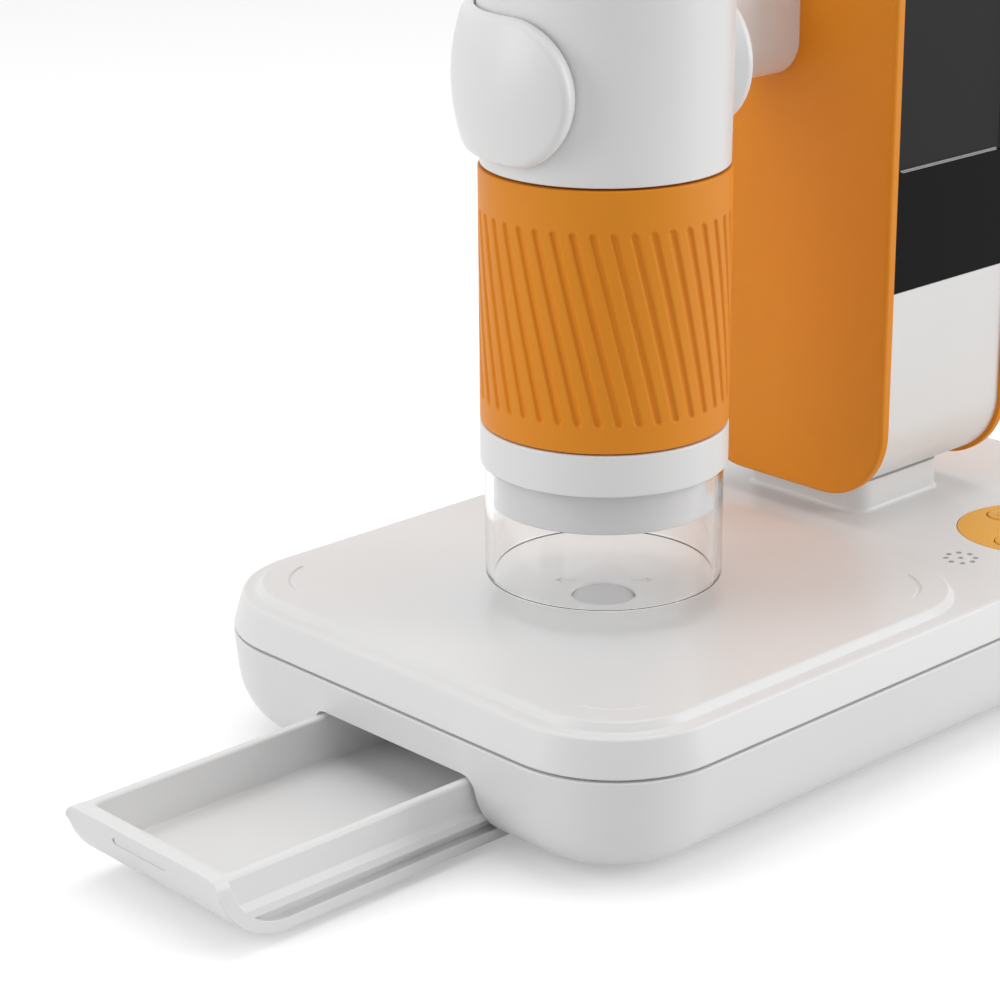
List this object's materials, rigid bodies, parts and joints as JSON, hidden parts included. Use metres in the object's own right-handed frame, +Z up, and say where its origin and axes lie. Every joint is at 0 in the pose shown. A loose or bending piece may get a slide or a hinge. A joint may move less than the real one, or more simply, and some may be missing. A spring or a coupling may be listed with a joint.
{
  "type": "digital microscope",
  "caption": "Tabletop digital microscope: a focusing tube in a C clamp over a stage with an accessory drawer, beside a tower with a display.",
  "frame": {"origin": "centre of the base's plan, on the surface that the four feet stand on", "axes": "+Z up; +X along the base from the stage towards the tower; -Y is the front, where display and keys face; the drawer comes out towards -X"},
  "size_m": [0.2086, 0.1012, 0.1532],
  "materials": {
    "white_shell": "satin moulded",
    "orange": "fine leather-like grain",
    "black_glass": "polished, printed black behind",
    "display": "screen, switched off",
    "clear_plastic": "clear moulded",
    "window_plastic": "translucent diffuser",
    "foot_rubber": "matt",
    "screw_steel": "plain",
    "plate_steel": "zinc plated",
    "inlet_metal": "drawn",
    "board": "green lacquer",
    "dark_plastic": "fine matt",
    "cell": "film wrapped",
    "lens_glass": "coated"
  },
  "bodies": {
    "base": {"base_upper_shell": "white_shell", "base_lower_shell": "white_shell", "base_feet": "foot_rubber", "base_screws": "screw_steel", "stage_window": "window_plastic", "stage_led_board": "board", "stage_led": "clear_plastic", "speaker": "dark_plastic", "control_disc": "orange", "key_switches": "dark_plastic", "main_board": "board", "base_battery": "cell", "usb_inlet": "inlet_metal", "inlet_board": "board", "tower_body": "white_shell", "left_panel": "orange", "right_panel": "orange", "display_glass": "black_glass", "display_module": "display", "tower_board": "board", "tower_screws": "screw_steel", "clamp_arm": "white_shell", "arm_plate": "plate_steel", "arm_screws": "screw_steel"},
    "drawer": {"drawer": "white_shell"},
    "tube": {"head_shell": "white_shell", "inner_barrel": "dark_plastic", "nose_ring": "white_shell", "nose_window": "clear_plastic", "led_ring_board": "board", "nose_leds": "clear_plastic", "image_sensor_board": "board", "tube_battery": "cell", "tube_board": "board", "top_cap": "white_shell", "power_switch": "dark_plastic", "button_board": "board", "tube_inlet": "inlet_metal"},
    "focus_ring": {"focus_ring": "orange"},
    "lens_carrier": {"lens_carrier": "dark_plastic", "objective_lens": "lens_glass"},
    "clear_cap": {"clear_cap": "clear_plastic"},
    "power_button": {"power_button": "orange"},
    "key_1": {"key_1": "orange"},
    "key_2": {"key_2": "orange"},
    "key_3": {"key_3": "orange"}
  },
  "joints": [
    {"name": "drawer_slide", "type": "slide", "parent": "base", "child": "drawer", "axis": [1, 0, 0], "range_m": [0, 0.0492]},
    {"name": "tube_slide", "type": "slide", "parent": "base", "child": "tube", "axis": [0, 0, 1], "range_m": [0, 0.02]},
    {"name": "focus_turn", "type": "hinge", "parent": "tube", "child": "focus_ring", "pos_m": [-0.0345, -0.00315, 0.0786], "axis": [0, 0, 1], "range_deg": [-135, 135]},
    {"name": "lens_focus", "type": "slide", "parent": "tube", "child": "lens_carrier", "axis": [0, 0, 1], "range_m": [-0.003, 0.003]},
    {"name": "cap_pull", "type": "slide", "parent": "tube", "child": "clear_cap", "axis": [0, 0, -1], "range_m": [0, 0.0035]},
    {"name": "power_press", "type": "slide", "parent": "tube", "child": "power_button", "axis": [0, 0, -1], "range_m": [0, 0.0004], "stiffness_N_per_m": 500, "springref_m": -0.0005},
    {"name": "key_1_press", "type": "slide", "parent": "base", "child": "key_1", "axis": [0, 0, -1], "range_m": [0, 0.0004], "stiffness_N_per_m": 500, "springref_m": -0.0005},
    {"name": "key_2_press", "type": "slide", "parent": "base", "child": "key_2", "axis": [0, 0, -1], "range_m": [0, 0.0004], "stiffness_N_per_m": 500, "springref_m": -0.0005},
    {"name": "key_3_press", "type": "slide", "parent": "base", "child": "key_3", "axis": [0, 0, -1], "range_m": [0, 0.0004], "stiffness_N_per_m": 500, "springref_m": -0.0005}
  ],
  "couplings": [
    {"joint": "lens_focus", "follows": "focus_turn", "m_per_rad": 0.0012732}
  ]
}
